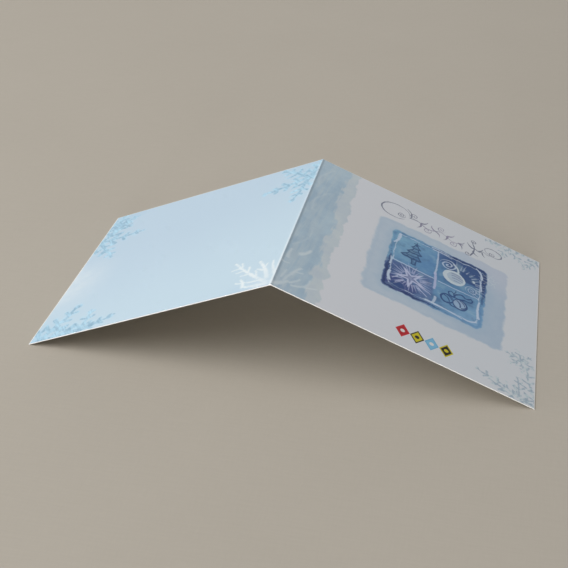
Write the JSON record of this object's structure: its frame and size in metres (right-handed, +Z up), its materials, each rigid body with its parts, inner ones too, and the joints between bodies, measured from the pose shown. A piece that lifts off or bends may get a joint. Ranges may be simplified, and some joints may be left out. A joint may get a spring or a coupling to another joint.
{
  "type": "greeting card",
  "caption": "Square single-fold greeting card of printed board, standing on its free edges like a tent with the fold on top, printed outside and plain white inside.",
  "frame": {"origin": "on the surface the card stands on, midway under the fold and midway along it", "axes": "+X across the tent towards the front panel's free edge, +Y along the fold, +Z up"},
  "size_m": [0.2738, 0.148, 0.0572],
  "materials": {
    "card_board": "uncoated board with a slight tooth, pale blue print outside, white inside and along the cut edges"
  },
  "bodies": {
    "root": {"folded_card": "card_board"}
  },
  "joints": []
}
